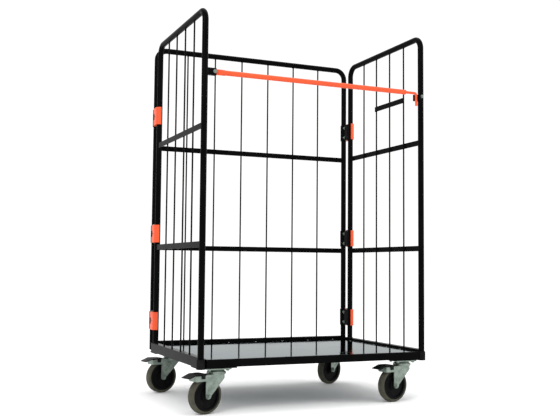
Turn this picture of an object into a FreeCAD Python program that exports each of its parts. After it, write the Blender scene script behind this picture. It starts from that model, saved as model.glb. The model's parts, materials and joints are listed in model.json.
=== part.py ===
"""Roll cage container: two hinged side panels, a back panel, a hinged deck, a restraint bar and four casters.

The frame has +Z up, +X to the right and the open side towards -Y. Its origin is on the floor,
midway between the side panels and midway between the front posts and the back panel.
"""
import FreeCAD, Part
import os
import re
import Sketcher

App = FreeCAD
doc = App.newDocument("roll_cage")

# Driving dimensions, in millimetres
SIZES = {
    "overall_height": 1700, "tube_radius": 13.5, "tube_wall": 2, "bend_radius": 50,
    "post_x": 532, "front_y": -379, "rear_y": 307, "back_x": 529, "back_y": 379, "back_foot": 200,
    "rod_radius": 3.75, "side_rod_pitch": 129.2, "back_rod_pitch": 147.4,
    "strip_height": 25, "strip_thick": 4, "lower_strip": 696, "upper_strip": 1192, "handle_level": 1414,
    "rail_low": 190.5, "rail_top": 233, "rail_wall": 2, "rail_end": 352, "post_foot": 188,
    "foot_radius": 18, "foot_low": 184, "foot_top": 224,
    "back_rail_low": 214, "back_rail_top": 238, "back_rail_half": 12.5,
    "pivot_y": 350, "pivot_x": 538, "knuckle_radius": 12.5, "hinge_pin_radius": 4, "leaf_height": 85,
    "leaf_wall": 5.5, "strap_reach": 4, "knuckle_gap": 29, "knuckle_play": 0.5, "running": 0.05,
    "cover_wall": 3.5, "cover_reach": 27,
    "mount_plate_low": 186, "mount_plate_inner": 376, "mount_plate_half": 48,
    "deck_half": 510, "deck_front": -393, "deck_rear": 352, "deck_low": 191, "deck_top": 224,
    "deck_rail": 28, "deck_lip": 10, "deck_thick": 2, "angle_wall": 3, "rib_thick": 5,
    "deck_pin_y": 357, "deck_pin_level": 231, "deck_pin_radius": 3, "deck_eye_radius": 6, "deck_eye_x": 300,
    "bar_level": 1420, "bar_radius": 11, "bar_pivot_x": 490.5, "bar_tube_half": 447, "hook_bend_start": 496,
    "bar_bolt_radius": 5, "bar_tongue": 6, "hook_radius": 6, "hook_bend": 12, "hook_tip": 1361,
    "bracket_half": 15, "bracket_inner": 483, "keeper_low": 1385, "keeper_top": 1414, "keeper_bore": 9,
    "caster_x": 450, "caster_front": -341, "caster_rear": 303, "wheel_radius": 75, "tyre_width": 36,
    "tread_round": 9, "hub_radius": 63, "hub_width": 32, "hub_boss": 16, "axle_radius": 6, "trail": 57,
    "leg_gap": 24, "leg_thick": 4, "crown_low": 156, "crown_top": 161, "leg_back": 13, "leg_front": 23,
    "race_radius": 40, "upper_race_radius": 35, "race_top": 170.7, "race_play": 0.3, "plate_low": 180,
    "plate_long": 52, "plate_wide": 42, "plate_bolt_long": 40, "plate_bolt_wide": 30, "bolt_radius": 4,
    "kingpin_radius": 6, "housing_end": 116, "housing_low": 136, "housing_top": 158.5, "wheel_room": 79,
    "pedal_pivot": 84, "pedal_level": 153.5, "pedal_pin_radius": 3, "pedal_tip": 153, "pedal_start": 70,
    "pedal_low": 161.8, "pedal_top": 167.5, "pedal_half": 30, "pedal_ear": 4, "ear_play": 0.4,
}
CASTERS = {
    "front_left": (-1, "caster_front", 196),
    "rear_left": (-1, "caster_rear", 192),
    "front_right": (1, "caster_front", 190),
    "rear_right": (1, "caster_rear", 200),
}
HINGE_LEVELS = (340, 762, 1340)
SIDES = {"left": -1, "right": 1}

sheet = doc.addObject("Spreadsheet::Sheet", "sizes")
for row, (alias, number) in enumerate(SIZES.items(), start=1):
    sheet.set(f"A{row}", alias)
    sheet.set(f"B{row}", str(number))
    sheet.setAlias(f"B{row}", alias)
doc.recompute()

X = App.Vector(1, 0, 0)
Y = App.Vector(0, 1, 0)
Z = App.Vector(0, 0, 1)
ALONG = {"x": App.Rotation(Y, 90), "y": App.Rotation(X, -90), "z": App.Rotation()}
nodes = []


def bound(text):
    """A sum of aliases and numbers, written as an expression on the sheet."""
    return re.sub(r"[a-z][a-z_]*", lambda word: "sizes." + word.group(0), str(text))


def value(text):
    """The number that such a sum gives now."""
    return float(sheet.evalExpression(bound(text)))


def make(kind, name, sizes, at=(0, 0, 0), turn=ALONG["z"]):
    """A primitive whose sizes and place follow the sheet."""
    piece = doc.addObject(kind, name)
    for size, text in sizes.items():
        piece.setExpression(size, bound(text))
    piece.Placement = App.Placement(App.Vector(), turn)
    for letter, text in zip("xyz", at):
        piece.setExpression(f".Placement.Base.{letter}", bound(text))
    return piece


def block(name, low, high):
    """A box between two corners."""
    spans = [f"({top}) - ({bottom})" for bottom, top in zip(low, high)]
    return make("Part::Box", name, dict(zip(("Length", "Width", "Height"), spans)), low)


def mirrored(side, inner, outer):
    """Low and high x of a span given by its distances from the middle plane."""
    if side > 0:
        return f"{inner}", f"{outer}"
    return f"-({outer})", f"-({inner})"


def side_block(name, side, span, low, high):
    """A box on one side, between two distances from the middle plane."""
    near, far = mirrored(side, *span)
    return block(name, (near, *low), (far, *high))


def cylinder(name, radius, length, at, along="z"):
    """A cylinder that starts at a point and runs along an axis."""
    return make("Part::Cylinder", name, {"Radius": radius, "Height": length}, at, ALONG[along])


def hexagon(name, radius, length, at, along="z"):
    """A nut or a bolt's head."""
    piece = make("Part::Prism", name, {"Circumradius": radius, "Height": length}, at, ALONG[along])
    piece.Polygon = 6
    return piece


def fused(name, pieces):
    """One solid from pieces that meet."""
    result = doc.addObject("Part::MultiFuse", name)
    result.Shapes = pieces
    return result


def cut(name, base, *tools):
    """A solid with others taken away."""
    result = doc.addObject("Part::Cut", name)
    result.Base = base
    result.Tool = tools[0] if len(tools) == 1 else fused(f"{name}_tools", list(tools))
    return result


def together(name, pieces):
    """Separate solids that share one node."""
    result = doc.addObject("Part::Compound", name)
    result.Links = pieces
    return result


def node(piece, label):
    """Marks a finished sub-part."""
    piece.Label = label
    nodes.append(piece)
    return piece


def rounded(name, base, radius, chosen):
    """Fillets the edges of a base that a test picks."""
    doc.recompute()
    result = doc.addObject("Part::Fillet", name)
    result.Base = base
    edges = enumerate(base.Shape.Edges, start=1)
    result.Edges = [(number, value(radius), value(radius)) for number, edge in edges if chosen(edge)]
    return result


def padded(name, corners, width):
    """A PartDesign body: an outline in the XZ plane, made equally thick to both sides of it."""
    body = doc.addObject("PartDesign::Body", name)
    sketch = body.newObject("Sketcher::SketchObject", f"{name}_outline")
    plane = next(item for item in body.Origin.OriginFeatures if item.Role == "XZ_Plane")
    sketch.AttachmentSupport = [(plane, "")]
    sketch.MapMode = "FlatFace"
    points = [App.Vector(value(across), value(up), 0) for across, up in corners]
    for start, end in zip(points, points[1:] + points[:1]):
        sketch.addGeometry(Part.LineSegment(start, end))
    for number, corner in enumerate(corners):
        following = (number + 1) % len(corners)
        sketch.addConstraint(Sketcher.Constraint("Coincident", number, 2, following, 1))
    for number, corner in enumerate(corners):
        for direction, text in zip(("DistanceX", "DistanceY"), corner):
            rule = Sketcher.Constraint(direction, -1, 1, number, 1, value(text))
            index = sketch.addConstraint(rule)
            sketch.setExpression(f"Constraints[{index}]", bound(text))
    pad = body.newObject("PartDesign::Pad", f"{name}_pad")
    pad.Profile = sketch
    pad.SideType = "Symmetric"
    pad.setExpression("Length", bound(width))
    return body


def arch(name, radius, plane, span, feet):
    """A bent tube's outer or inner solid: two posts, a top rail and a quarter bend at each corner."""
    across, point = plane
    first, last = span
    shoulder = "overall_height - tube_radius - bend_radius"
    crown = "overall_height - tube_radius"
    letter = "x" if across == X else "y"
    turns = (App.Rotation(-across, Z, -across.cross(Z)), App.Rotation(Z, across, Z.cross(across)))
    pieces = [
        cylinder(f"{name}_top", radius, f"({last}) - ({first}) - 2 * bend_radius",
                 point(f"{first} + bend_radius", crown), letter),
    ]
    centres = (f"{first} + bend_radius", f"{last} - bend_radius")
    for end, foot, centre, turn in zip(span, feet, centres, turns):
        tag = f"{name}_{len(pieces)}"
        pieces.append(cylinder(f"{tag}_post", radius, f"{shoulder} - {foot}", point(end, foot)))
        bend = make("Part::Torus", f"{tag}_bend", {"Radius1": "bend_radius", "Radius2": radius},
                    point(centre, shoulder), turn)
        bend.Angle3 = 90
        pieces.append(bend)
    return fused(name, pieces)


def tube_frame(name, plane, span, feet):
    """The bent tube itself."""
    outer = arch(f"{name}_outer", "tube_radius", plane, span, feet)
    inner = arch(f"{name}_inner", "tube_radius - tube_wall", plane, span, feet)
    return cut(name, outer, inner)


def grid(count, pitch, middle):
    """Places of equally spaced rods about a middle."""
    return [f"{middle} + {step - (count - 1) / 2} * {pitch}" for step in range(count)]


def side_panel(name, side):
    """One side panel: frame, rods, flat strips, bottom rail and foot sleeve."""
    post = f"{side} * post_x"
    plane = (Y, lambda across, up: (post, across, up))
    node(tube_frame(f"{name}_frame", plane, ("front_y", "rear_y"), ("post_foot", "rail_top")), f"{name}_frame")
    crown = "overall_height - tube_radius"
    middle = "(front_y + rear_y) / 2"
    top = cylinder(f"{name}_top_room", "tube_radius", "rear_y - front_y", (post, "front_y", crown), "y")
    rods = [
        cylinder(f"{name}_rod_{number}", "rod_radius", f"{crown} - rail_top", (post, place, "rail_top"))
        for number, place in enumerate(grid(4, "side_rod_pitch", middle))
    ]
    node(cut(f"{name}_rods", together(f"{name}_long_rods", rods), top), f"{name}_rods")
    posts = [
        cylinder(f"{name}_room_{place}", "tube_radius", "overall_height - 100", (post, place, "post_foot"))
        for place in ("front_y", "rear_y")
    ]
    span = ("post_x + rod_radius", "post_x + rod_radius + strip_thick")
    strips = [
        side_block(f"{name}_{level}", side, span, ("front_y", f"{level} - strip_height / 2"),
                   ("rear_y", f"{level} + strip_height / 2"))
        for level in ("lower_strip", "upper_strip")
    ]
    node(cut(f"{name}_flat_bars", together(f"{name}_long_bars", strips), *posts), f"{name}_flat_bars")
    node(bottom_rail(name, side, post), f"{name}_bottom_rail")
    shell = cylinder(f"{name}_foot_shell", "foot_radius", "foot_top - foot_low", (post, "front_y", "foot_low"))
    bore = cylinder(f"{name}_foot_bore", "tube_radius", "foot_top - post_foot", (post, "front_y", "post_foot"))
    node(cut(f"{name}_foot_sleeve", shell, bore), f"{name}_foot_sleeve")


def bottom_rail(name, side, post):
    """A rectangular tube behind the front post, closed by a rounded end."""
    span = ("post_x - tube_radius", "post_x + tube_radius")
    height = ("rail_low", "rail_top")
    straight = side_block(f"{name}_rail_box", side, span, ("front_y", height[0]),
                          ("rail_end - tube_radius", height[1]))
    end = cylinder(f"{name}_rail_end", "tube_radius", "rail_top - rail_low",
                   (post, "rail_end - tube_radius", "rail_low"))
    room = ("post_x - tube_radius + rail_wall", "post_x + tube_radius - rail_wall")
    hollow = side_block(f"{name}_rail_room", side, room, ("front_y", "rail_low + rail_wall"),
                        ("rail_end - 2 * tube_radius", "rail_top - rail_wall"))
    front = cylinder(f"{name}_rail_front", "tube_radius", 200, (post, "front_y", 100))
    foot = cylinder(f"{name}_rail_foot", "foot_radius", "foot_top - foot_low", (post, "front_y", "foot_low"))
    return cut(f"{name}_bottom_rail", fused(f"{name}_rail_whole", [straight, end]), hollow, front, foot)


def handle():
    """A flat grip across two bays of the right panel."""
    middle = "(front_y + rear_y) / 2"
    span = ("post_x - rod_radius - strip_thick", "post_x - rod_radius")
    low = (f"{middle} - 1.5 * side_rod_pitch - rod_radius", "handle_level - strip_height / 2")
    high = (f"{middle} + 0.5 * side_rod_pitch + rod_radius", "handle_level + strip_height / 2")
    node(side_block("right_handle", 1, span, low, high), "right_handle")


def back_panel():
    """The back panel: frame, rods, flat strips and bottom rail."""
    plane = (X, lambda across, up: (across, "back_y", up))
    feet = ("back_foot", "back_foot")
    node(tube_frame("back_frame", plane, ("-back_x", "back_x"), feet), "back_frame")
    crown = "overall_height - tube_radius"
    top = cylinder("back_top_room", "tube_radius", "2 * back_x", ("-back_x", "back_y", crown), "x")
    rods = [
        cylinder(f"back_rod_{number}", "rod_radius", f"{crown} - back_rail_top",
                 (place, "back_y", "back_rail_top"))
        for number, place in enumerate(grid(6, "back_rod_pitch", 0))
    ]
    node(cut("back_rods", together("back_long_rods", rods), top), "back_rods")
    posts = [
        cylinder(f"back_room_{name}", "tube_radius", "overall_height - 100",
                 (f"{side} * back_x", "back_y", 100))
        for name, side in SIDES.items()
    ]
    near = "back_y + rod_radius"
    strips = [
        block(f"back_{level}", ("-back_x", near, f"{level} - strip_height / 2"),
              ("back_x", f"{near} + strip_thick", f"{level} + strip_height / 2"))
        for level in ("lower_strip", "upper_strip")
    ]
    node(cut("back_flat_bars", together("back_long_bars", strips), *posts), "back_flat_bars")
    whole = block("back_rail_box", ("-back_x", "back_y - back_rail_half", "back_rail_low"),
                  ("back_x", "back_y + back_rail_half", "back_rail_top"))
    hollow = block("back_rail_room",
                   ("-back_x", "back_y - back_rail_half + rail_wall", "back_rail_low + rail_wall"),
                   ("back_x", "back_y + back_rail_half - rail_wall", "back_rail_top - rail_wall"))
    ends = fused("back_rail_ends", posts)
    node(cut("back_bottom_rail", whole, hollow, ends), "back_bottom_rail")


def side_leaf(name, side, level):
    """A leaf that wraps a side panel's rear post from outside and carries the outer knuckles."""
    post = f"{side} * post_x"
    tag = f"{name}_side_leaf_{level}"
    low = f"{level} - leaf_height / 2"
    high = f"{level} + leaf_height / 2"
    half = f"{level} + knuckle_gap / 2 + knuckle_play"
    strap = cylinder(f"{tag}_strap", "tube_radius + leaf_wall", "leaf_height", (post, "rear_y", low))
    outer = ("post_x - strap_reach", "post_x + tube_radius + leaf_wall")
    keep = side_block(f"{tag}_keep", side, outer, ("rear_y - 30", low), ("rear_y + 30", high))
    halved = doc.addObject("Part::Common", f"{tag}_half")
    halved.Base = strap
    halved.Tool = keep
    web_span = ("pivot_x + knuckle_radius - leaf_wall", "pivot_x + knuckle_radius")
    web = side_block(f"{tag}_web", side, web_span, ("rear_y", low), ("pivot_y", high))
    pivot = f"{side} * pivot_x"
    knuckle = cylinder(f"{tag}_knuckle", "knuckle_radius", "leaf_height", (pivot, "pivot_y", low))
    post_room = cylinder(f"{tag}_post_room", "tube_radius", "leaf_height", (post, "rear_y", low))
    bore = cylinder(f"{tag}_bore", "hinge_pin_radius + running", "leaf_height", (pivot, "pivot_y", low))
    span = ("pivot_x - knuckle_radius - 2", "pivot_x + knuckle_radius + 2")
    gap = side_block(f"{tag}_gap", side, span, ("pivot_y - knuckle_radius - 2", f"2 * {level} - ({half})"),
                     ("pivot_y + knuckle_radius + 2", half))
    return cut(tag, fused(f"{tag}_whole", [halved, web, knuckle]), post_room, bore, gap)


def back_leaf(name, side, level):
    """A leaf that rings a back post and carries the middle knuckle."""
    tag = f"{name}_back_leaf_{level}"
    low = f"{level} - leaf_height / 2"
    high = f"{level} + leaf_height / 2"
    post = (f"{side} * back_x", "back_y", low)
    ring = cylinder(f"{tag}_ring", "tube_radius + cover_wall", "leaf_height", post)
    span = ("pivot_x - knuckle_radius - cover_wall", "pivot_x + 6")
    root = side_block(f"{tag}_root", side, span, ("pivot_y + knuckle_radius + 1.5", low), ("back_y", high))
    inner = (span[0], "pivot_x - knuckle_radius - knuckle_play")
    cover = side_block(f"{tag}_cover", side, inner, ("pivot_y - cover_reach", low), ("back_y", high))
    arm = side_block(f"{tag}_arm", side, span, ("pivot_y", f"{level} - knuckle_gap / 2"),
                     ("back_y", f"{level} + knuckle_gap / 2"))
    knuckle = cylinder(f"{tag}_knuckle", "knuckle_radius", "knuckle_gap",
                       (f"{side} * pivot_x", "pivot_y", f"{level} - knuckle_gap / 2"))
    post_room = cylinder(f"{tag}_post_room", "tube_radius", "leaf_height", post)
    bore = cylinder(f"{tag}_bore", "hinge_pin_radius", "leaf_height",
                    (f"{side} * pivot_x", "pivot_y", low))
    return cut(tag, fused(f"{tag}_whole", [ring, root, arm, cover, knuckle]), post_room, bore)


def hinge_pin(name, side, level):
    """A headed pin through the three knuckles of one hinge."""
    tag = f"{name}_pin_{level}"
    place = (f"{side} * pivot_x", "pivot_y")
    shank = cylinder(f"{tag}_shank", "hinge_pin_radius", "leaf_height + 6",
                     (*place, f"{level} - leaf_height / 2 - 3"))
    head = cylinder(f"{tag}_head", "hinge_pin_radius + 3", 4,
                    (*place, f"{level} + leaf_height / 2 + knuckle_play"))
    return fused(tag, [shank, head])


def hinges():
    """The leaves and pins of both side panels."""
    pins = []
    leaves = []
    for name, side in SIDES.items():
        own = [side_leaf(name, side, level) for level in HINGE_LEVELS]
        node(together(f"{name}_hinge_leaves", own), f"{name}_hinge_leaves")
        leaves += [back_leaf(name, side, level) for level in HINGE_LEVELS]
        pins += [hinge_pin(name, side, level) for level in HINGE_LEVELS]
    node(together("back_hinge_leaves", leaves), "back_hinge_leaves")
    node(together("hinge_pins", pins), "hinge_pins")


def deck():
    """The hinged deck: rail frame, flush sheet, cross members and eyes, and the lugs on the back rail."""
    low = ("-deck_half", "deck_front", "deck_low")
    high = ("deck_half", "deck_rear", "deck_top")
    whole = block("deck_frame_whole", low, high)
    inner = ("-deck_half + deck_rail", "deck_front + deck_rail")
    outer = ("deck_half - deck_rail", "deck_rear - deck_rail")
    room = block("deck_frame_room", (*inner, "deck_low"), (*outer, "deck_top"))
    sheet = (("-deck_half + deck_lip", "deck_front + deck_lip", "deck_top - deck_thick"),
             ("deck_half - deck_lip", "deck_rear - deck_lip", "deck_top"))
    ledge = block("deck_frame_ledge", *sheet)
    wall = ("-deck_half + angle_wall", "deck_front + angle_wall", "deck_low")
    under = block("deck_frame_under", wall, ("deck_half - angle_wall", "deck_rear - angle_wall",
                                             "deck_top - deck_thick - angle_wall"))
    node(cut("deck_frame", whole, room, ledge, under), "deck_frame")
    node(block("deck_sheet", *sheet), "deck_sheet")
    depth = "(deck_rear - deck_front)"
    ribs = [
        block(f"deck_rib_{number}",
              (inner[0], f"deck_front + {number} * {depth} / 4 - rib_thick / 2", "deck_low"),
              (outer[0], f"deck_front + {number} * {depth} / 4 + rib_thick / 2", "deck_top - deck_thick"))
        for number in (1, 2, 3)
    ]
    node(together("deck_cross_members", ribs), "deck_cross_members")
    middles = {name: f"{side} * deck_eye_x" for name, side in SIDES.items()}
    node(together("deck_eyes", [deck_eye(name, middle) for name, middle in middles.items()]), "deck_eyes")
    node(together("deck_lugs", [deck_lug(name, middle) for name, middle in middles.items()]), "deck_lugs")


def deck_eye(name, middle):
    """A tab on the deck's rear rail and the ring that turns on the lug's pin."""
    tag = f"{name}_deck_eye"
    place = (f"{middle} - 8", "deck_pin_y", "deck_pin_level")
    ring = cylinder(f"{tag}_ring", "deck_eye_radius", 16, place, "x")
    tab = block(f"{tag}_tab", (f"{middle} - 8", "deck_rear - deck_lip", "deck_top"),
                (f"{middle} + 8", "deck_pin_y", "deck_pin_level"))
    bore = cylinder(f"{tag}_bore", "deck_pin_radius + running", 16, place, "x")
    return cut(tag, fused(f"{tag}_whole", [ring, tab]), bore)


def deck_lug(name, middle):
    """Two cheeks on the back rail and the pin that the deck's eye turns on."""
    face = "back_y - back_rail_half"
    pin_start = (f"{middle} - 14", "deck_pin_y", "deck_pin_level")
    pieces = [cylinder(f"{name}_lug_pin", "deck_pin_radius", 28, pin_start, "x")]
    for end, start in enumerate((-13.5, 8.5)):
        tag = f"{name}_lug_{end}"
        edge = f"{middle} + {start}"
        centre = (edge, "deck_pin_y", "deck_pin_level")
        pieces.append(cylinder(f"{tag}_cheek", "deck_eye_radius", 5, centre, "x"))
        pieces.append(block(f"{tag}_arm", (edge, "deck_pin_y", "deck_pin_level - 6"),
                            (f"{edge} + 5", face, "deck_pin_level + 6")))
    return fused(f"{name}_lug", pieces)


def restraint_bar():
    """The bar across the open side, its clevis on the left post and its keeper on the right one."""
    middle = ("front_y", "bar_level")
    tube = cylinder("bar_tube", "bar_radius", "2 * bar_tube_half", ("-bar_tube_half", *middle), "x")
    bore = cylinder("bar_bore", "bar_radius - tube_wall", "2 * bar_tube_half - 20",
                    ("20 - bar_tube_half", *middle), "x")
    tongue = block("bar_tongue_strip", ("-bar_pivot_x", "front_y - bar_tongue / 2", "bar_level - 12"),
                   ("4 - bar_tube_half", "front_y + bar_tongue / 2", "bar_level + 12"))
    nose = cylinder("bar_nose", 12, "bar_tongue",
                    ("-bar_pivot_x", "front_y - bar_tongue / 2", "bar_level"), "y")
    hole = cylinder("bar_hole", "bar_bolt_radius + running", 40,
                    ("-bar_pivot_x", "front_y - 20", "bar_level"), "y")
    node(cut("bar", fused("bar_whole", [tube, tongue, nose]), bore, hole), "restraint_bar")
    plug = cylinder("hook_plug", "bar_radius - tube_wall", 12, ("bar_tube_half - 12", *middle), "x")
    arm = cylinder("hook_arm", "hook_radius", "hook_bend_start - bar_tube_half",
                   ("bar_tube_half", *middle), "x")
    bend = make("Part::Torus", "hook_corner", {"Radius1": "hook_bend", "Radius2": "hook_radius"},
                ("hook_bend_start", "front_y", "bar_level - hook_bend"), App.Rotation(Z, X, Z.cross(X)))
    bend.Angle3 = 90
    tail = cylinder("hook_tail", "hook_radius", "bar_level - hook_bend - hook_tip",
                    ("hook_bend_start + hook_bend", "front_y", "hook_tip"))
    node(fused("bar_hook", [plug, arm, bend, tail]), "restraint_hook")
    bracket_and_keeper()


def bracket_and_keeper():
    """The clevis that the bar turns in, its bolt, and the open keeper that its hook drops into."""
    whole = block("bracket_whole", ("-post_x", "front_y - 9", "bar_level - bracket_half"),
                  ("-bracket_inner", "front_y + 9", "bar_level + bracket_half"))
    slot = block("bracket_slot", ("-bar_pivot_x - 14.5", "front_y - bar_tongue / 2 - 0.4", "bar_level - 20"),
                 ("-bracket_inner + 1", "front_y + bar_tongue / 2 + 0.4", "bar_level + 20"))
    post = cylinder("bracket_post_room", "tube_radius", 60, ("-post_x", "front_y", "bar_level - 30"))
    bolt_room = cylinder("bracket_bolt_room", "bar_bolt_radius", 40,
                         ("-bar_pivot_x", "front_y - 20", "bar_level"), "y")
    node(cut("bar_bracket", whole, slot, post, bolt_room), "bar_bracket")
    shank = cylinder("bracket_bolt_shank", "bar_bolt_radius", 24,
                     ("-bar_pivot_x", "front_y - 11", "bar_level"), "y")
    head = hexagon("bracket_bolt_head", 9, 5, ("-bar_pivot_x", "front_y - 14", "bar_level"), "y")
    nut = hexagon("bracket_bolt_nut", 9, 6, ("-bar_pivot_x", "front_y + 9", "bar_level"), "y")
    node(fused("bar_pivot_bolt", [shank, head, nut]), "bar_pivot_bolt")
    tail_x = "hook_bend_start + hook_bend"
    base = block("keeper_whole", (f"{tail_x} - keeper_bore", "front_y - 12", "keeper_low"),
                 ("post_x", "front_y + 15", "keeper_top"))
    bore = cylinder("keeper_bore_room", "keeper_bore", 60, (tail_x, "front_y", "keeper_low - 10"))
    mouth = block("keeper_mouth", (f"{tail_x} - 20", "front_y - 20", "keeper_low - 10"),
                  (f"{tail_x} + 4.5", "front_y + 7", "keeper_top + 10"))
    post_room = cylinder("keeper_post_room", "tube_radius", 60, ("post_x", "front_y", "keeper_low - 10"))
    outside = block("keeper_outside", ("post_x - 6", "front_y - 20", "keeper_low - 10"),
                    ("post_x + 20", "front_y + 20", "keeper_top + 10"))
    node(cut("bar_keeper", base, bore, mouth, post_room, outside), "bar_keeper")


def mount_plates(name, side):
    """The two plates under a bottom rail that carry its casters and the deck's edge."""
    foot = cylinder(f"{name}_plate_foot", "foot_radius", "foot_top - foot_low",
                    (f"{side} * post_x", "front_y", "foot_low"))
    span = ("mount_plate_inner", "post_x + tube_radius")
    plates = [
        side_block(f"{name}_plate_{place}", side, span, (f"{place} - mount_plate_half", "mount_plate_low"),
                   (f"{place} + mount_plate_half", "rail_low"))
        for place in ("caster_front", "caster_rear")
    ]
    holes = [
        cylinder(f"{name}_hole_{place}_{along}_{across}", "bolt_radius", 20,
                 (f"{side} * caster_x + {along} * plate_bolt_long", f"{place} + {across} * plate_bolt_wide",
                  "mount_plate_low - 10"))
        for place in ("caster_front", "caster_rear") for along in (-1, 1) for across in (-1, 1)
    ]
    node(cut(f"{name}_mount_plates", together(f"{name}_plates", plates), foot, *holes), f"{name}_mount_plates")
    bolts = [
        plate_bolt(f"{name}_bolt_{place}_{along}_{across}", f"{side} * caster_x + {along} * plate_bolt_long",
                   f"{place} + {across} * plate_bolt_wide")
        for place in ("caster_front", "caster_rear") for along in (-1, 1) for across in (-1, 1)
    ]
    node(together(f"{name}_caster_bolts", bolts), f"{name}_caster_bolts")


def plate_bolt(name, across, along):
    """A bolt through a caster's top plate and its mount plate, flush above and with its nut below."""
    shank = cylinder(f"{name}_shank", "bolt_radius", "rail_low - plate_low + 6",
                     (across, along, "plate_low - 6"))
    nut = hexagon(f"{name}_nut", "bolt_radius + 3.5", 5, (across, along, "plate_low - 5"))
    return fused(name, [shank, nut])


def caster(name, side, place, heading):
    """A braked swivel caster, made with its trail along local +X and then turned to its heading."""
    tag = f"caster_{name}"
    for part, build in (("plate", caster_plate), ("fork", caster_fork), ("axle", caster_axle),
                        ("hub", caster_hub), ("tyre", caster_tyre), ("pedal", caster_pedal)):
        piece = build(f"{tag}_{part}")
        # the bolted plate stays square to the rail
        turn = 0 if part == "plate" else heading
        piece.Placement = App.Placement(App.Vector(), App.Rotation(Z, turn))
        piece.setExpression(".Placement.Base.x", bound(f"{side} * caster_x"))
        piece.setExpression(".Placement.Base.y", bound(place))
        node(piece, f"{tag}_{part}")


def caster_plate(tag):
    """Top plate with the upper race and the kingpin."""
    plate = block(f"{tag}_flat", ("-plate_long", "-plate_wide", "plate_low"),
                  ("plate_long", "plate_wide", "mount_plate_low"))
    race_sizes = {"Radius1": "upper_race_radius", "Radius2": "upper_race_radius - 5",
                  "Height": "plate_low - race_top - race_play"}
    race = make("Part::Cone", f"{tag}_race", race_sizes, (0, 0, "race_top + race_play"))
    pin = cylinder(f"{tag}_kingpin", "kingpin_radius", "plate_low - crown_low + 12", (0, 0, "crown_low - 12"))
    nut = hexagon(f"{tag}_kingpin_nut", "kingpin_radius + 5", "8", (0, 0, "crown_low - 9"))
    holes = [
        cylinder(f"{tag}_hole_{along}_{across}", "bolt_radius", 20,
                 (f"{along} * plate_bolt_long", f"{across} * plate_bolt_wide", "plate_low - 10"))
        for along in (-1, 1) for across in (-1, 1)
    ]
    return cut(tag, fused(f"{tag}_whole", [plate, race, pin, nut]), *holes)


def caster_fork(tag):
    """Yoke with two legs, lower race and the brake's housing."""
    corners = [
        ("-leg_front", "crown_top"), ("trail + leg_back", "crown_top"), ("trail + leg_back", "wheel_radius"),
        ("trail - leg_back", "wheel_radius"), ("-leg_front", "crown_low - 12"),
    ]
    yoke = padded(f"{tag}_yoke", corners, "2 * (leg_gap + leg_thick)")
    start = (0, "-leg_gap - leg_thick", 0)
    ends = cylinder(f"{tag}_leg_ends", "leg_back", "2 * (leg_gap + leg_thick)",
                    ("trail", start[1], "wheel_radius"), "y")
    race = cylinder(f"{tag}_race", "race_radius", "race_top - crown_top", (0, 0, "crown_top"))
    housing = block(f"{tag}_housing", ("trail + leg_back - 5", start[1], "housing_low"),
                    ("housing_end", "leg_gap + leg_thick", "housing_top"))
    gap = block(f"{tag}_gap", ("-leg_front - 1", "-leg_gap", 0), ("trail + leg_back", "leg_gap", "crown_low"))
    room = cylinder(f"{tag}_wheel_room", "wheel_room", "2 * leg_gap",
                    ("trail", "-leg_gap", "wheel_radius"), "y")
    bore = cylinder(f"{tag}_bore", "kingpin_radius + running", 60, (0, 0, "crown_low - 10"))
    axle = cylinder(f"{tag}_axle_room", "axle_radius", 80, ("trail", -40, "wheel_radius"), "y")
    pedal = cylinder(f"{tag}_pedal_room", "pedal_pin_radius + running", 80,
                     ("pedal_pivot", -40, "pedal_level"), "y")
    return cut(tag, fused(f"{tag}_whole", [yoke, ends, race, housing]), gap, room, bore, axle, pedal)


def caster_axle(tag):
    """Wheel bolt with its head and nut."""
    outer = "leg_gap + leg_thick"
    shank = cylinder(f"{tag}_shank", "axle_radius", f"2 * ({outer}) + 10",
                     ("trail", f"-({outer}) - 4", "wheel_radius"), "y")
    head = hexagon(f"{tag}_head", "axle_radius + 4.5", 5, ("trail", f"-({outer}) - 5", "wheel_radius"), "y")
    nut = hexagon(f"{tag}_nut", "axle_radius + 4.5", 6, ("trail", outer, "wheel_radius"), "y")
    return fused(tag, [shank, head, nut])


def caster_hub(tag):
    """Wheel centre with a dished web on both faces and a bored boss."""
    disc = cylinder(f"{tag}_disc", "hub_radius", "hub_width", ("trail", "-hub_width / 2", "wheel_radius"), "y")
    boss = cylinder(f"{tag}_boss", "hub_boss", "2 * leg_gap - 0.6",
                    ("trail", "0.3 - leg_gap", "wheel_radius"), "y")
    dishes = []
    for end, start in enumerate(("-hub_width / 2", "hub_width / 2 - 7")):
        wide = cylinder(f"{tag}_dish_{end}", "hub_radius - 8", 7, ("trail", start, "wheel_radius"), "y")
        core = cylinder(f"{tag}_core_{end}", "hub_boss + 6", 7, ("trail", start, "wheel_radius"), "y")
        dishes.append(cut(f"{tag}_ring_{end}", wide, core))
    bore = cylinder(f"{tag}_bore", "axle_radius + running", 80, ("trail", -40, "wheel_radius"), "y")
    return cut(tag, fused(f"{tag}_whole", [disc, boss]), *dishes, bore)


def caster_tyre(tag):
    """Tread ring with rounded shoulders."""
    start = ("trail", "-tyre_width / 2", "wheel_radius")
    outer = cylinder(f"{tag}_outer", "wheel_radius", "tyre_width", start, "y")
    inner = cylinder(f"{tag}_inner", "hub_radius", "tyre_width", start, "y")
    ring = cut(f"{tag}_ring", outer, inner)
    radius = value("wheel_radius")

    def shoulder(edge):
        return hasattr(edge.Curve, "Radius") and abs(edge.Curve.Radius - radius) < 0.01

    return rounded(tag, ring, "tread_round", shoulder)


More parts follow.
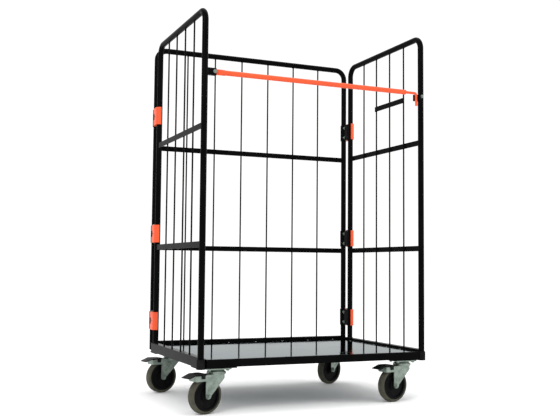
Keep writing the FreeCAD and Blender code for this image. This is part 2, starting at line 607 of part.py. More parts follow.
def caster_pedal(tag):
    """Foot blade with two ears and the pin that it turns on."""
    corners = [
        ("pedal_start", "pedal_low"), ("pedal_start", "pedal_top"), ("housing_end", "pedal_top"),
        ("pedal_tip", "pedal_low - 8.5"), ("pedal_tip - 1", "pedal_low - 12"), ("housing_end + 4", "pedal_low"),
    ]
    blade = padded(f"{tag}_blade", corners, "2 * pedal_half")
    outer = "leg_gap + leg_thick + ear_play"
    pieces = [blade]
    for end, start in enumerate((f"-({outer}) - pedal_ear", outer)):
        low = ("pedal_pivot - 8", start, "pedal_level - 7")
        high = ("pedal_pivot + 8", f"{start} + pedal_ear", "pedal_top")
        pieces.append(block(f"{tag}_ear_{end}", low, high))
    pieces.append(cylinder(f"{tag}_pin", "pedal_pin_radius", f"2 * ({outer}) + 2 * pedal_ear",
                           ("pedal_pivot", f"-({outer}) - pedal_ear", "pedal_level"), "y"))
    return fused(tag, pieces)


for panel, sign in SIDES.items():
    side_panel(panel, sign)
    mount_plates(panel, sign)
handle()
back_panel()
hinges()
deck()
restraint_bar()
for corner, settings in CASTERS.items():
    caster(corner, *settings)
doc.recompute()

for item in doc.Objects:
    if any(word in ("Invalid", "Error") for word in item.State):
        raise RuntimeError(f"{item.Name} failed: {item.State}")
os.makedirs("parts", exist_ok=True)
for piece in nodes:
    shape = piece.Shape
    if shape.isNull() or not shape.isValid() or not shape.Solids:
        raise RuntimeError(f"{piece.Label} is not a valid solid")
    shape.exportStep(f"parts/{piece.Label}.step")
    print(piece.Label, len(shape.Solids), round(shape.Volume))
print(len(nodes), "nodes")
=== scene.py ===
"""Looks for the roll cage container: finishes, welds, bolts, caster details, studio and camera."""
import bmesh
import bpy
import json
import math
import random
from mathutils import Matrix, Vector


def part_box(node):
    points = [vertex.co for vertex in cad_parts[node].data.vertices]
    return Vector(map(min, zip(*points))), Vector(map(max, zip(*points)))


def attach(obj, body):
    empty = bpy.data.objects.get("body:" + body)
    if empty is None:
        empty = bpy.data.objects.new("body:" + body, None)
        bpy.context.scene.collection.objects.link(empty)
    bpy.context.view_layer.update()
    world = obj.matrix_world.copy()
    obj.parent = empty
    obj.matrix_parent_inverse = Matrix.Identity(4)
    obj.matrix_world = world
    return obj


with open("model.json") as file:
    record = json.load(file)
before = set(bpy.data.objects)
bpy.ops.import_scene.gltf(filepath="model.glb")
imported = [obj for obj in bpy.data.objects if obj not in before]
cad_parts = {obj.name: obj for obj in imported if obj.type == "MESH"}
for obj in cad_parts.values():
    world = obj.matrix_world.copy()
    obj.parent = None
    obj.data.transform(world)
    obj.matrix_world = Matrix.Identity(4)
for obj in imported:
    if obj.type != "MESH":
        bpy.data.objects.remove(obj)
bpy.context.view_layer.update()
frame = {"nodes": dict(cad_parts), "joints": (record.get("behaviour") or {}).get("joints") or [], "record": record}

SIDES = {"left": -1, "right": 1}
CORNERS = ("front_left", "rear_left", "front_right", "rear_right")
JOINTS = {joint["name"]: joint for joint in frame["joints"]}
MM = 0.001
UP = (0, 0, 1)
MIX_INPUTS = (0, 6, 7)      # a colour mix node's factor and its two colours
MIX_RESULT = 2              # its mixed colour
STRIP_HALF = 0.0125         # half of a flat strip's width
BOLT_SIZE = 0.0052          # corner radius of the small bolts' hexagon
TONGUE_DEPTH = 0.0031       # half of the bar's flattened tongue, through its thickness
TONGUE_HEIGHT = 0.0121      # and up its height
SKIN = 0.0002               # how far a shaped end stands over the tube it covers
FORK_FACE = 0.028           # from a caster's middle to the outside of a leg
TYRE_FACE = 0.018           # to the tyre's sidewall
HUB_FACE = 0.016            # to the hub's face
CAMERA_PLACE = (-1.6407, -3.6904, 0.6024)
CAMERA_ANGLES = (0.4146, 0.0681, 0.0082)    # heading, pitch and roll in radians
CAMERA_LENS = 54.2


# ---------------------------------------------------------------- materials

def linear(red, green, blue):
    """An sRGB colour of 0 to 255 as linear RGBA."""
    def channel(level):
        level = level / 255
        return level / 12.92 if level <= 0.04045 else ((level + 0.055) / 1.055) ** 2.4
    return channel(red), channel(green), channel(blue), 1.0


class Finish:
    """A node material with short ways to add noise, ramps, mixes and bump."""

    def __init__(self, name, **constants):
        self.material = bpy.data.materials.new(name)
        self.material.use_nodes = True
        self.tree = self.material.node_tree
        self.shader = self.tree.nodes["Principled BSDF"]
        for socket, number in constants.items():
            self.shader.inputs[socket.replace("_", " ")].default_value = number
        self.where = self.tree.nodes.new("ShaderNodeTexCoord").outputs["Object"]

    def feed(self, socket, given):
        """Links an output to a socket, or sets the socket to a value."""
        if isinstance(given, bpy.types.NodeSocket):
            self.tree.links.new(given, socket)
        else:
            socket.default_value = given

    def add(self, kind, **inputs):
        made = self.tree.nodes.new(kind)
        for name, given in inputs.items():
            self.feed(made.inputs[name.replace("_", " ")], given)
        return made

    def stretched(self, x, y, z):
        made = self.add("ShaderNodeMapping", Vector=self.where)
        made.inputs["Scale"].default_value = (x, y, z)
        return made.outputs["Vector"]

    def noise(self, scale, detail, vector=None, rough=0.55):
        made = self.add("ShaderNodeTexNoise", Vector=vector or self.where, Scale=scale, Detail=detail,
                        Roughness=rough)
        return made.outputs["Fac"]

    def cells(self, scale):
        made = self.add("ShaderNodeTexVoronoi", Vector=self.where, Scale=scale)
        return made.outputs["Color"]

    def ramp(self, factor, *stops):
        made = self.add("ShaderNodeValToRGB", Fac=factor)
        for index, (place, shade) in enumerate(stops):
            at = made.color_ramp.elements
            stop = at[index] if index < len(at) else at.new(place)
            stop.position = place
            stop.color = shade if isinstance(shade, tuple) else (shade, shade, shade, 1)
        return made.outputs["Color"]

    def mix(self, factor, first, second):
        made = self.tree.nodes.new("ShaderNodeMix")
        made.data_type = "RGBA"
        for place, given in zip(MIX_INPUTS, (factor, first, second)):
            self.feed(made.inputs[place], given)
        return made.outputs[MIX_RESULT]

    def times(self, first, second):
        made = self.tree.nodes.new("ShaderNodeMath")
        made.operation = "MULTIPLY"
        for place, given in enumerate((first, second)):
            self.feed(made.inputs[place], given)
        return made.outputs[0]

    def bump(self, height, strength, distance):
        made = self.add("ShaderNodeBump", Height=height, Strength=strength, Distance=distance)
        self.tree.links.new(made.outputs["Normal"], self.shader.inputs["Normal"])

    def drive(self, **sockets):
        for name, output in sockets.items():
            self.tree.links.new(output, self.shader.inputs[name.replace("_", " ")])
        return self.material


def powder_coat(name, colour, dusty, bare, gloss, wear, shine):
    """Sprayed and baked paint: orange peel, a little dust and a few pale scuffs."""
    paint = Finish(name, Specular_IOR_Level=shine)
    worn = paint.ramp(paint.noise(60, 6), (wear, 0.0), (wear + 0.05, 0.6))
    shade = paint.mix(paint.ramp(paint.noise(9, 3), (0.35, 0.0), (0.75, 1.0)), colour, dusty)
    paint.bump(paint.noise(520, 2), 0.02, 0.0003)
    rough = paint.ramp(paint.noise(22, 5), (0.3, gloss), (0.75, gloss + 0.1))
    return paint.drive(Base_Color=paint.mix(worn, shade, bare), Roughness=rough)


def plated(name, light, dark, rough):
    """Passivated zinc: soft spangle, faint streaks and dull metal."""
    metal = Finish(name, Metallic=0.85)
    spangle = metal.ramp(metal.cells(190), (0.1, 0.0), (0.9, 1.0))
    cloud = metal.ramp(metal.noise(45, 6), (0.3, 0.0), (0.7, 1.0))
    shade = metal.mix(metal.times(spangle, 0.35), metal.mix(cloud, light, dark), light)
    metal.bump(metal.noise(300, 4), 0.08, 0.0005)
    dull = metal.ramp(metal.noise(70, 5), (0.3, rough), (0.7, rough + 0.15))
    return metal.drive(Base_Color=shade, Roughness=dull)


def rolled_sheet(name):
    """Bright galvanised sheet: rolling lines along its length, scuffs and a faint spangle."""
    sheet = Finish(name, Metallic=1.0, Specular_Tint=(0.42, 0.45, 0.46, 1.0))
    lines = sheet.noise(60, 5, sheet.stretched(1.2, 40, 1))
    spangle = sheet.ramp(sheet.cells(38), (0.15, 0.42), (0.9, 0.58))
    tone = sheet.mix(sheet.ramp(lines, (0.3, 0.0), (0.7, 1.0)), linear(138, 150, 152), linear(156, 166, 168))
    shade = sheet.mix(sheet.times(spangle, 0.25), tone, linear(126, 138, 141))
    scuffs = sheet.ramp(sheet.noise(7, 8, sheet.stretched(1, 2.4, 1), 0.7), (0.42, 0.05), (0.76, 0.16))
    sheet.bump(lines, 0.012, 0.0003)
    return sheet.drive(Base_Color=shade, Roughness=scuffs)


def moulded(name, light, dark, rough, grain, depth):
    """Moulded rubber or plastic: fine grain, dusty patches and a dull sheen."""
    stuff = Finish(name, Specular_IOR_Level=0.06)
    patches = stuff.ramp(stuff.noise(28, 5), (0.35, 0.0), (0.72, 1.0))
    stuff.bump(stuff.noise(grain, 3), depth, 0.0008)
    return stuff.drive(Base_Color=stuff.mix(patches, dark, light),
                       Roughness=stuff.ramp(stuff.noise(50, 4), (0.3, rough), (0.75, rough + 0.16)))


def weld_metal(name):
    """Painted weld bead with ripples showing through the coat."""
    bead = Finish(name, Specular_IOR_Level=0.08)
    bead.bump(bead.noise(420, 3), 0.45, 0.0012)
    shade = bead.mix(bead.noise(90, 3), linear(9, 9, 10), linear(20, 20, 21))
    return bead.drive(Base_Color=shade, Roughness=bead.ramp(bead.noise(160, 3), (0.3, 0.24), (0.7, 0.42)))


FINISHES = {
    "black_paint": powder_coat("black_powder_coat", linear(5, 5, 6), linear(10, 10, 11),
                               linear(60, 59, 57), 0.2, 0.76, 0.018),
    "orange_paint": powder_coat("orange_powder_coat", linear(226, 84, 44), linear(216, 78, 42),
                                linear(150, 72, 46), 0.3, 0.72, 0.22),
    "zinc": plated("zinc_plate", linear(140, 152, 143), linear(96, 108, 100), 0.34),
    "deck_steel": rolled_sheet("galvanised_sheet"),
    "bumper_black": moulded("moulded_rubber", linear(24, 24, 25), linear(10, 10, 11), 0.46, 380, 0.12),
    "hub_plastic": moulded("hub_plastic", linear(18, 18, 19), linear(8, 8, 9), 0.36, 460, 0.08),
    "tyre_rubber": moulded("tyre_rubber", linear(84, 83, 72), linear(64, 63, 54), 0.5, 300, 0.16),
    "pedal_black": powder_coat("pedal_coat", linear(10, 10, 11), linear(22, 22, 23), linear(90, 90, 87),
                               0.28, 0.7, 0.08),
}
WELD = weld_metal("painted_weld")


# ---------------------------------------------------------------- mesh helpers

def finished(name, mesh, body, slot, material=None, smooth=True):
    """Makes an object of a bmesh, gives it its finish and its body."""
    data = bpy.data.meshes.new(name)
    bmesh.ops.recalc_face_normals(mesh, faces=mesh.faces)
    mesh.to_mesh(data)
    mesh.free()
    piece = bpy.data.objects.new(name, data)
    bpy.context.scene.collection.objects.link(piece)
    data.materials.append(material or FINISHES[slot])
    for face in data.polygons:
        face.use_smooth = smooth
    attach(piece, body)


def turned(mesh, profile, matrix, steps):
    """Adds a closed lathe shape: profile is (radius, height) pairs from the axis out and back to it."""
    rings = []
    for radius, height in profile:
        if radius < 1e-7:
            rings.append([mesh.verts.new(matrix @ Vector((0, 0, height)))])
            continue
        ring = []
        for step in range(steps):
            angle = math.tau * step / steps
            spot = Vector((radius * math.cos(angle), radius * math.sin(angle), height))
            ring.append(mesh.verts.new(matrix @ spot))
        rings.append(ring)
    for lower, upper in zip(rings, rings[1:]):
        for step in range(steps):
            after = (step + 1) % steps
            corners = [lower[step % len(lower)], lower[after % len(lower)],
                       upper[after % len(upper)], upper[step % len(upper)]]
            unique = list(dict.fromkeys(corners))
            if len(unique) > 2:
                mesh.faces.new(unique)


def facing(point, direction):
    """A matrix that puts local +Z along a direction at a point."""
    turn = Vector(direction).to_track_quat("Z", "Y").to_matrix().to_4x4()
    return Matrix.Translation(Vector(point)) @ turn


def hex_bolt(mesh, point, direction, size, height):
    """A washer, a chamfered hexagon and the bolt's end."""
    matrix = facing(point, direction)
    turned(mesh, [(0, 0), (size * 1.45, 0), (size * 1.45, 0.0012), (0, 0.0012)], matrix, 28)
    lift = matrix @ Matrix.Translation((0, 0, 0.0012))
    turned(mesh, [(0, 0), (size, 0), (size, height * 0.86), (size * 0.86, height), (0, height)], lift, 6)
    end = lift @ Matrix.Translation((0, 0, height))
    turned(mesh, [(0, 0), (size * 0.5, 0), (size * 0.5, 0.0018), (size * 0.38, 0.0026), (0, 0.0026)], end, 16)


def bead(mesh, points, radius, seed):
    """A rippled weld along a line of points."""
    rough = random.Random(seed)
    rings = []
    for index, point in enumerate(points):
        before = points[max(index - 1, 0)]
        after = points[min(index + 1, len(points) - 1)]
        turn = (after - before).to_track_quat("Z", "Y").to_matrix()
        ends = index in (0, len(points) - 1)
        size = radius * (0.45 if ends else rough.uniform(0.85, 1.15))
        rings.append([
            mesh.verts.new(point + turn @ Vector((size * math.cos(angle), size * math.sin(angle), 0)))
            for angle in (math.tau * step / 8 for step in range(8))
        ])
    for lower, upper in zip(rings, rings[1:]):
        for step in range(8):
            after = (step + 1) % 8
            mesh.faces.new((lower[step], lower[after], upper[after], upper[step]))
    mesh.faces.new(rings[0][::-1])
    mesh.faces.new(rings[-1])


def ring_points(centre, radius, axis, start, sweep, count):
    """Points on an arc about an axis through a centre."""
    matrix = facing(centre, axis)
    return [
        matrix @ Vector((radius * math.cos(angle), radius * math.sin(angle), 0))
        for angle in (start + sweep * step / (count - 1) for step in range(count))
    ]


# ---------------------------------------------------------------- finishes of the CAD nodes

for entry in frame["record"]["subparts"]:
    part = frame["nodes"][entry["node"]]
    part.data.materials.clear()
    part.data.materials.append(FINISHES[entry["material_slot"]])


# ---------------------------------------------------------------- places read from the frame

HINGE_LEVELS = (0.340, 0.762, 1.340)


def tube_box(node, flat):
    """Centre lines of a bent tube's two posts along the panel, its plane, its crown and its radius."""
    low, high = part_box(node)
    across = 1 - flat
    radius = (high[flat] - low[flat]) / 2
    return low[across] + radius, high[across] - radius, low[flat] + radius, high[2] - radius, radius


def spread(first, last, count):
    """Equally spaced places from the first to the last."""
    return [first + (last - first) * step / (count - 1) for step in range(count)]


def panel_places(name, flat, count):
    """Everything that a panel's welds need, with points made from (along, up)."""
    first, last, plane, crown, radius = tube_box(f"{name}_frame", flat)
    rod_low, rod_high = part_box(f"{name}_rods")
    strip_low, strip_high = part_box(f"{name}_flat_bars")
    across = 1 - flat
    rod_radius = (rod_high[flat] - rod_low[flat]) / 2
    return {
        "flat": flat, "plane": plane, "posts": (first, last), "radius": radius,
        "rods": spread(rod_low[across] + rod_radius, rod_high[across] - rod_radius, count),
        "rod_radius": rod_radius, "rod_ends": (rod_low[2], crown - radius),
        "strips": (strip_low[2] + STRIP_HALF, strip_high[2] - STRIP_HALF),
        "strip_faces": (strip_low[flat], strip_high[flat]),
    }


def at(places, along, up, off=0.0):
    """A point of a panel, a distance off its plane."""
    point = [0.0, 0.0, up]
    point[places["flat"]] = places["plane"] + off
    point[1 - places["flat"]] = along
    return Vector(point)


PANELS = {
    "left": panel_places("left", 0, 4),
    "right": panel_places("right", 0, 4),
    "back": panel_places("back", 1, 6),
}


# ---------------------------------------------------------------- welds

def panel_welds(name, places):
    """Beads round the rods' ends, at each rod and strip crossing and at the strips' ends."""
    mesh = bmesh.new()
    seed = len(name) * 100
    radius = places["rod_radius"]
    out = 1 if abs(places["strip_faces"][1]) > abs(places["strip_faces"][0]) else -1
    for rod in places["rods"]:
        for level in places["rod_ends"]:
            seed += 1
            ring = ring_points(at(places, rod, level), radius + 0.0003, (0, 0, 1), 0.1, math.tau * 0.96, 17)
            bead(mesh, ring, 0.0016, seed)
        for level in places["strips"]:
            for side in (-1, 1):
                seed += 1
                line = [
                    at(places, rod + side * (radius + 0.0002), level + shift * MM, out * radius * 0.86)
                    for shift in (-9, -6, -3, 0, 3, 6, 9)
                ]
                bead(mesh, line, 0.0014, seed)
    middle = sum(places["strip_faces"]) / 2 - places["plane"]
    for level in places["strips"]:
        for post, side in zip(places["posts"], (1, -1)):
            seed += 1
            reach = math.sqrt(places["radius"] ** 2 - middle ** 2)
            face = places["strip_faces"][0 if out > 0 else 1] - places["plane"]
            line = [
                at(places, post + side * (reach + 0.0015), level + shift * MM, face)
                for shift in (-11, -8, -5, -2, 1, 4, 7, 10)
            ]
            bead(mesh, line, 0.0022, seed)
    body = "back_panel" if name == "back" else f"{name}_panel"
    finished(f"{name}_welds", mesh, body, "black_paint", WELD)


def rail_welds(name, side):
    """Beads where the rear post stands on the bottom rail and where the plates meet the rail."""
    mesh = bmesh.new()
    places = PANELS[name]
    rail_low, rail_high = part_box(f"{name}_bottom_rail")
    foot = at(places, places["posts"][1], rail_high[2])
    bead(mesh, ring_points(foot, places["radius"] + 0.0006, (0, 0, 1), 0.0, math.tau * 0.98, 33), 0.0021, 7)
    front = places["posts"][0] + places["radius"]
    for edge in (-1, 1):
        points = [
            Vector((places["plane"] + edge * 0.0105, front - 0.0015, level))
            for level in spread(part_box(f"{name}_foot_sleeve")[1][2] + 0.001, rail_high[2] - 0.001, 5)
        ]
        bead(mesh, points, 0.002, 9 + edge)
    inner = places["plane"] - side * places["radius"]
    for place in ("front", "rear"):
        low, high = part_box(f"caster_{place}_{name}_plate")
        points = [Vector((inner - side * 0.0006, y, rail_low[2] + 0.0006))
                  for y in spread(low[1], high[1], 22)]
        bead(mesh, points, 0.0022, 15)
    finished(f"{name}_rail_welds", mesh, f"{name}_panel", "black_paint", WELD)


def handle_welds():
    """Beads at the grip's three rods."""
    mesh = bmesh.new()
    places = PANELS["right"]
    low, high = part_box("right_handle")
    middle = (low[2] + high[2]) / 2
    radius = places["rod_radius"]
    for number, rod in enumerate(places["rods"][:3]):
        for side in (-1, 1):
            line = [
                at(places, rod + side * radius, middle + shift * MM, -radius * 0.86)
                for shift in (-8, -5, -2, 1, 4, 7)
            ]
            bead(mesh, line, 0.0014, 40 + number * 2 + side)
    finished("handle_welds", mesh, "right_panel", "black_paint", WELD)


def fitting_welds():
    """Beads that hold the bar's clevis and keeper to their posts."""
    for name, node, side in (("left", "bar_bracket", -1), ("right", "bar_keeper", 1)):
        mesh = bmesh.new()
        places = PANELS[name]
        low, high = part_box(node)
        for index, edge in enumerate((low[1], high[1])):
            off = min(abs(edge - places["posts"][0]), places["radius"] * 0.9)
            y = places["posts"][0] + math.copysign(off, edge - places["posts"][0])
            x = places["plane"] - side * (math.sqrt(places["radius"] ** 2 - off ** 2) + 0.0006)
            points = [Vector((x, y, z)) for z in spread(low[2] + 0.001, high[2] - 0.001, 9)]
            bead(mesh, points, 0.0018, 60 + index)
        finished(f"{node}_welds", mesh, f"{name}_panel", "black_paint", WELD)


# ---------------------------------------------------------------- bolts of the hinges and fittings

RIVET = [(0, -0.0004), (0.0048, -0.0004), (0.0046, 0.0003), (0.0034, 0.0008), (0.0016, 0.001), (0, 0.001)]
FLUSH_RIVET = [(0, -0.0004), (0.0046, -0.0004), (0.0043, 0.0002), (0.003, 0.0004), (0, 0.0004)]
CHEEK = 0.0035


def hinge_bolts(name, side):
    """A dark flush rivet in each side leaf's web, and two bolts on each back leaf's inner cheek."""
    pivot = JOINTS[f"{name}_panel_swing"]["pos_m"]
    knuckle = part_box(f"{name}_hinge_leaves")[1][1] - pivot[1]
    web = pivot[0] + side * knuckle
    cheek = pivot[0] - side * (knuckle + CHEEK)
    outer = bmesh.new()
    inner = bmesh.new()
    for level in HINGE_LEVELS:
        turned(outer, FLUSH_RIVET, facing((web, pivot[1] - 0.0245, level), (side, 0, 0)), 20)
        for shift in (-0.026, 0.026):
            hex_bolt(inner, (cheek, pivot[1] + 0.006, level + shift), (-side, 0, 0), BOLT_SIZE, 0.004)
    finished(f"{name}_leaf_rivets", outer, f"{name}_panel", "black_paint")
    finished(f"{name}_back_leaf_bolts", inner, "back_panel", "zinc", smooth=False)


def fitting_bolts():
    """The keeper's bolt on the right post and the deck sheet's flush rivets."""
    mesh = bmesh.new()
    places = PANELS["right"]
    low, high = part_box("bar_keeper")
    front = places["posts"][0] - places["radius"]
    level = (low[2] + high[2]) / 2 + 0.006
    hex_bolt(mesh, (places["plane"], front + 0.0006, level), (0, -1, 0), BOLT_SIZE, 0.0036)
    finished("keeper_bolt", mesh, "right_panel", "zinc", smooth=False)
    low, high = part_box("deck_sheet")
    mesh = bmesh.new()
    inset = 0.012
    for y in (low[1] + inset, high[1] - inset):
        for x in spread(low[0] + 0.06, high[0] - 0.06, 7):
            turned(mesh, RIVET, Matrix.Translation((x, y, high[2])), 20)
    for x in (low[0] + inset, high[0] - inset):
        for y in spread(low[1] + 0.12, high[1] - 0.12, 5):
            turned(mesh, RIVET, Matrix.Translation((x, y, high[2])), 20)
    finished("deck_rivets", mesh, "deck", "deck_steel")


def post_plugs():
    """Plugs in the open lower ends of the back posts."""
    mesh = bmesh.new()
    places = PANELS["back"]
    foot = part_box("back_frame")[0][2]
    shape = [(0, -0.004), (0.0095, -0.004), (0.0128, -0.0025), (0.0132, 0.0),
             (0.011, 0.0004), (0.011, 0.012), (0, 0.012)]
    for post in places["posts"]:
        turned(mesh, shape, Matrix.Translation(at(places, post, foot)), 40)
    finished("back_post_plugs", mesh, "back_panel", "bumper_black")


# ---------------------------------------------------------------- the restraint bar's shaped ends

def bar_ends():
    """The crimp from round tube to flat tongue, and the taper from tube to hook."""
    low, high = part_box("restraint_bar")
    pivot = Vector(JOINTS["bar_lift"]["pos_m"])
    radius = (high[1] - low[1]) / 2
    tube_start = -high[0]
    mesh = bmesh.new()
    rings = []
    stations = 14
    around = 32
    for station in range(stations + 1):
        share = station / stations
        ease = share * share * (3 - 2 * share)
        depth = TONGUE_DEPTH + (radius - TONGUE_DEPTH + SKIN) * ease
        tall = TONGUE_HEIGHT + (radius - TONGUE_HEIGHT + SKIN) * ease
        power = 0.35 + 0.65 * ease
        x = tube_start - 0.026 + 0.029 * share
        ring = []
        for step in range(around):
            angle = math.tau * step / around
            y = math.copysign(abs(math.cos(angle)) ** power, math.cos(angle)) * depth
            z = math.copysign(abs(math.sin(angle)) ** power, math.sin(angle)) * tall
            ring.append(mesh.verts.new((x, pivot[1] + y, pivot[2] + z)))
        rings.append(ring)
    for lower, upper in zip(rings, rings[1:]):
        for step in range(around):
            after = (step + 1) % around
            mesh.faces.new((lower[step], lower[after], upper[after], upper[step]))
    mesh.faces.new(rings[0])
    mesh.faces.new(rings[-1])
    finished("bar_crimp", mesh, "bar", "orange_paint")
    mesh = bmesh.new()
    taper = [(0, -0.004), (radius, -0.004), (radius, 0.0), (radius * 0.9, 0.0022),
             (0.0066, 0.0042), (0, 0.0046)]
    turned(mesh, taper, facing((high[0], pivot[1], pivot[2]), (1, 0, 0)), 40)
    finished("bar_taper", mesh, "bar", "orange_paint")


# ---------------------------------------------------------------- casters

class Caster:
    """A caster's own frame: origin on the floor under its swivel, +X along its trail."""

    def __init__(self, corner):
        self.corner = corner
        swivel = Vector(JOINTS[f"{corner}_swivel"]["pos_m"])
        axle = Vector(JOINTS[f"{corner}_roll"]["pos_m"])
        side = Vector(JOINTS[f"{corner}_roll"]["axis"])
        ahead = Vector((axle.x - swivel.x, axle.y - swivel.y, 0))
        self.trail = ahead.length
        ahead.normalize()
        self.axle = axle.z
        columns = (ahead, side, Vector((0, 0, 1)))
        turn = Matrix([[column[row] for column in columns] for row in range(3)]).to_4x4()
        self.matrix = Matrix.Translation((swivel.x, swivel.y, 0)) @ turn

    def lathe(self, mesh, profile, point, direction, steps):
        turned(mesh, profile, self.matrix @ facing(point, direction), steps)

    def finished(self, what, mesh, body, slot, **choices):
        finished(f"{self.corner}_{what}", mesh, f"{self.corner}_{body}", slot, **choices)


def ridge(middle, wide, rise):
    """A low ring's closed profile, rooted a millimetre under the face."""
    return [(middle - wide, -0.001), (middle + wide, -0.001), (middle + wide * 0.6, rise),
            (middle - wide * 0.6, rise), (middle - wide, -0.001)]


def sidewall_rings(caster):
    """A moulded ridge round each sidewall of the tyre."""
    mesh = bmesh.new()
    for face in (-1, 1):
        caster.lathe(mesh, ridge(caster.axle - 0.0105, 0.0009, 0.0006),
                     (caster.trail, face * TYRE_FACE, caster.axle), (0, face, 0), 72)
    caster.finished("tyre_ridges", mesh, "wheel", "tyre_rubber")


def hub_rings(caster):
    """The rim lip and two moulded steps on both faces of the hub."""
    mesh = bmesh.new()
    for face in (-1, 1):
        for middle, wide in ((0.0558, 0.0014), (0.0410, 0.0008), (0.0240, 0.0008)):
            caster.lathe(mesh, ridge(middle, wide, 0.0007),
                         (caster.trail, face * HUB_FACE, caster.axle), (0, face, 0), 64)
    caster.finished("hub_rings", mesh, "wheel", "hub_plastic")


def swivel_seal(caster):
    """The dust lip between the two races, and a grease nipple on the fork."""
    mesh = bmesh.new()
    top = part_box(f"caster_{caster.corner}_fork")[1][2]
    seal = [(0.0335, -0.0012), (0.0395, -0.0012), (0.0398, 0.0), (0.0375, 0.0002),
            (0.0335, 0.0002), (0.0335, -0.0012)]
    caster.lathe(mesh, seal, (0, 0, top), UP, 64)
    caster.finished("swivel_seal", mesh, "fork", "bumper_black")
    mesh = bmesh.new()
    band = [(0.0398, -0.0072), (0.0412, -0.0066), (0.0412, -0.0052), (0.0398, -0.0044), (0.0398, -0.0072)]
    caster.lathe(mesh, band, (0, 0, top), UP, 64)
    nipple = [(0, 0), (0.003, 0), (0.003, 0.002), (0.0016, 0.003), (0.0022, 0.0045),
              (0.0014, 0.006), (0, 0.006)]
    caster.lathe(mesh, nipple, (-0.021, 0, 0.1575), (-1, 0, 0), 20)
    caster.finished("race_band", mesh, "fork", "zinc")


def leg_ribs(caster):
    """Pressed stiffening ribs on the outer faces of the fork's legs."""
    mesh = bmesh.new()
    top = Vector((0.020, 0, 0.149))
    bottom = Vector((caster.trail - 0.001, 0, caster.axle + 0.024))
    for face in (-1, 1):
        rings = []
        count = 12
        for step in range(count + 1):
            share = step / count
            centre = top.lerp(bottom, share)
            width = 0.0095 * math.sqrt(max(0.0, 1 - (2 * share - 1) ** 6)) * (1 - 0.35 * share) + 0.0002
            ring = []
            for spot in range(7):
                across = -1 + 2 * spot / 6
                rise = 0.0016 * (1 - across ** 4)
                crest = Vector((centre.x + across * width, face * (FORK_FACE - 0.0002 + rise), centre.z))
                ring.append(mesh.verts.new(caster.matrix @ crest))
            root = Vector((centre.x, face * (FORK_FACE - 0.001), centre.z))
            ring.append(mesh.verts.new(caster.matrix @ root))
            rings.append(ring)
        for lower, upper in zip(rings, rings[1:]):
            for spot in range(8):
                after = (spot + 1) % 8
                mesh.faces.new((lower[spot], lower[after], upper[after], upper[spot]))
        mesh.faces.new(rings[0])
        mesh.faces.new(rings[-1])
    caster.finished("leg_ribs", mesh, "fork", "zinc")


def pedal_grip(caster):
    """Ridges across the blade where the foot presses."""
    mesh = bmesh.new()
    bend = Vector((0.116, 0, 0.1675))
    tip = Vector((0.153, 0, 0.1533))
    for step, share in enumerate(spread(0.12, 0.92, 4)):
        point = bend.lerp(tip, share)
        line = [caster.matrix @ Vector((point.x, y, point.z)) for y in spread(-0.026, 0.026, 9)]
        bead(mesh, line, 0.0014, 80 + step)
    caster.finished("pedal_grip", mesh, "pedal", "pedal_black")


def axle_washers(caster):
    """Washers under the wheel bolt's head and nut, and the bolt's threaded end."""
    mesh = bmesh.new()
    for face in (-1, 1):
        washer = [(0.0064, 0), (0.0128, 0), (0.0128, 0.0012), (0.0122, 0.0016), (0.0064, 0.0016), (0.0064, 0)]
        caster.lathe(mesh, washer, (caster.trail, face * FORK_FACE, caster.axle), (0, face, 0), 36)
    thread = [(0, 0)]
    for turn in range(4):
        thread += [(0.0058, turn * 0.0011), (0.0052, turn * 0.0011 + 0.00055)]
    thread += [(0.0045, 0.0046), (0, 0.0046)]
    caster.lathe(mesh, thread, (caster.trail, 0.0338, caster.axle), (0, 1, 0), 28)
    caster.finished("axle_washers", mesh, "fork", "zinc")


for panel, places in PANELS.items():
    panel_welds(panel, places)
for panel, side in SIDES.items():
    rail_welds(panel, side)
    hinge_bolts(panel, side)
handle_welds()
fitting_welds()
fitting_bolts()
post_plugs()
bar_ends()
for corner in CORNERS:
    caster = Caster(corner)
    for detail in (sidewall_rings, hub_rings, swivel_seal, leg_ribs, pedal_grip, axle_washers):
        detail(caster)


# ---------------------------------------------------------------- studio and camera

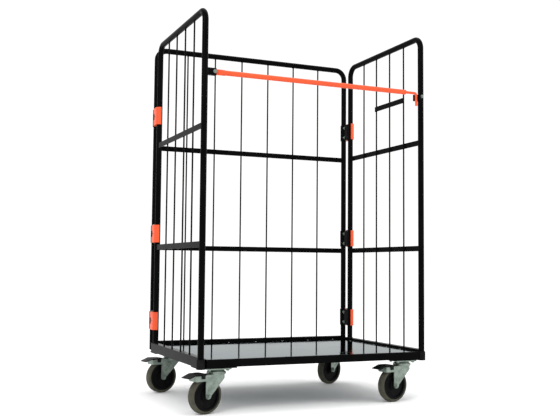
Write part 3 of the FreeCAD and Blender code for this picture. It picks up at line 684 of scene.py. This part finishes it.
def floor():
    """A broad pale floor that runs out into the bright surround."""
    mesh = bmesh.new()
    reach = 150.0
    mesh.faces.new([mesh.verts.new((x, y, 0.0)) for x, y in
                    ((-reach, -reach), (reach, -reach), (reach, reach), (-reach, reach))])
    data = bpy.data.meshes.new("studio_floor")
    mesh.to_mesh(data)
    mesh.free()
    sweep = bpy.data.objects.new("studio_floor", data)
    bpy.context.scene.collection.objects.link(sweep)
    paper = Finish("studio_paper", Roughness=1.0, Specular_IOR_Level=0.0)
    data.materials.append(paper.drive(Base_Color=paper.mix(paper.noise(3, 2), linear(252, 252, 252),
                                                           linear(254, 254, 254))))


def softbox(name, place, target, size, power):
    """A rectangular soft light aimed at a point."""
    lamp = bpy.data.lights.new(name, "AREA")
    lamp.shape = "RECTANGLE"
    lamp.size, lamp.size_y = size
    lamp.energy = power
    holder = bpy.data.objects.new(name, lamp)
    bpy.context.scene.collection.objects.link(holder)
    holder.matrix_world = facing(place, Vector(place) - Vector(target))


def studio():
    """A bright even surround with three soft lights."""
    world = bpy.data.worlds.new("studio")
    bpy.context.scene.world = world
    world.use_nodes = True
    back = world.node_tree.nodes["Background"]
    back.inputs["Color"].default_value = (1, 1, 1, 1)
    back.inputs["Strength"].default_value = 1.06
    middle = (0, 0, 0.9)
    softbox("key", (-3.6, -3.0, 3.6), middle, (1.6, 2.4), 90)
    softbox("fill", (3.8, -2.6, 2.6), middle, (1.2, 2.6), 50)
    softbox("top", (0.3, 0.2, 4.6), middle, (3.0, 3.0), 50)


def camera():
    """A low three-quarter view from the front left."""
    heading, pitch, roll = CAMERA_ANGLES
    flat = math.cos(pitch)
    ahead = Vector((math.sin(heading) * flat, math.cos(heading) * flat, math.sin(pitch)))
    level = Vector((math.cos(heading), -math.sin(heading), 0))
    upright = level.cross(ahead)
    right = math.cos(roll) * level + math.sin(roll) * upright
    up = -math.sin(roll) * level + math.cos(roll) * upright
    lens = bpy.data.cameras.new("camera")
    lens.sensor_width = 36
    lens.lens = CAMERA_LENS
    holder = bpy.data.objects.new("camera", lens)
    bpy.context.scene.collection.objects.link(holder)
    turn = Matrix([[axis[row] for axis in (right, up, -ahead)] for row in range(3)]).to_4x4()
    holder.matrix_world = Matrix.Translation(CAMERA_PLACE) @ turn
    bpy.context.scene.camera = holder


floor()
studio()
camera()
bpy.context.scene.view_settings.view_transform = "Standard"
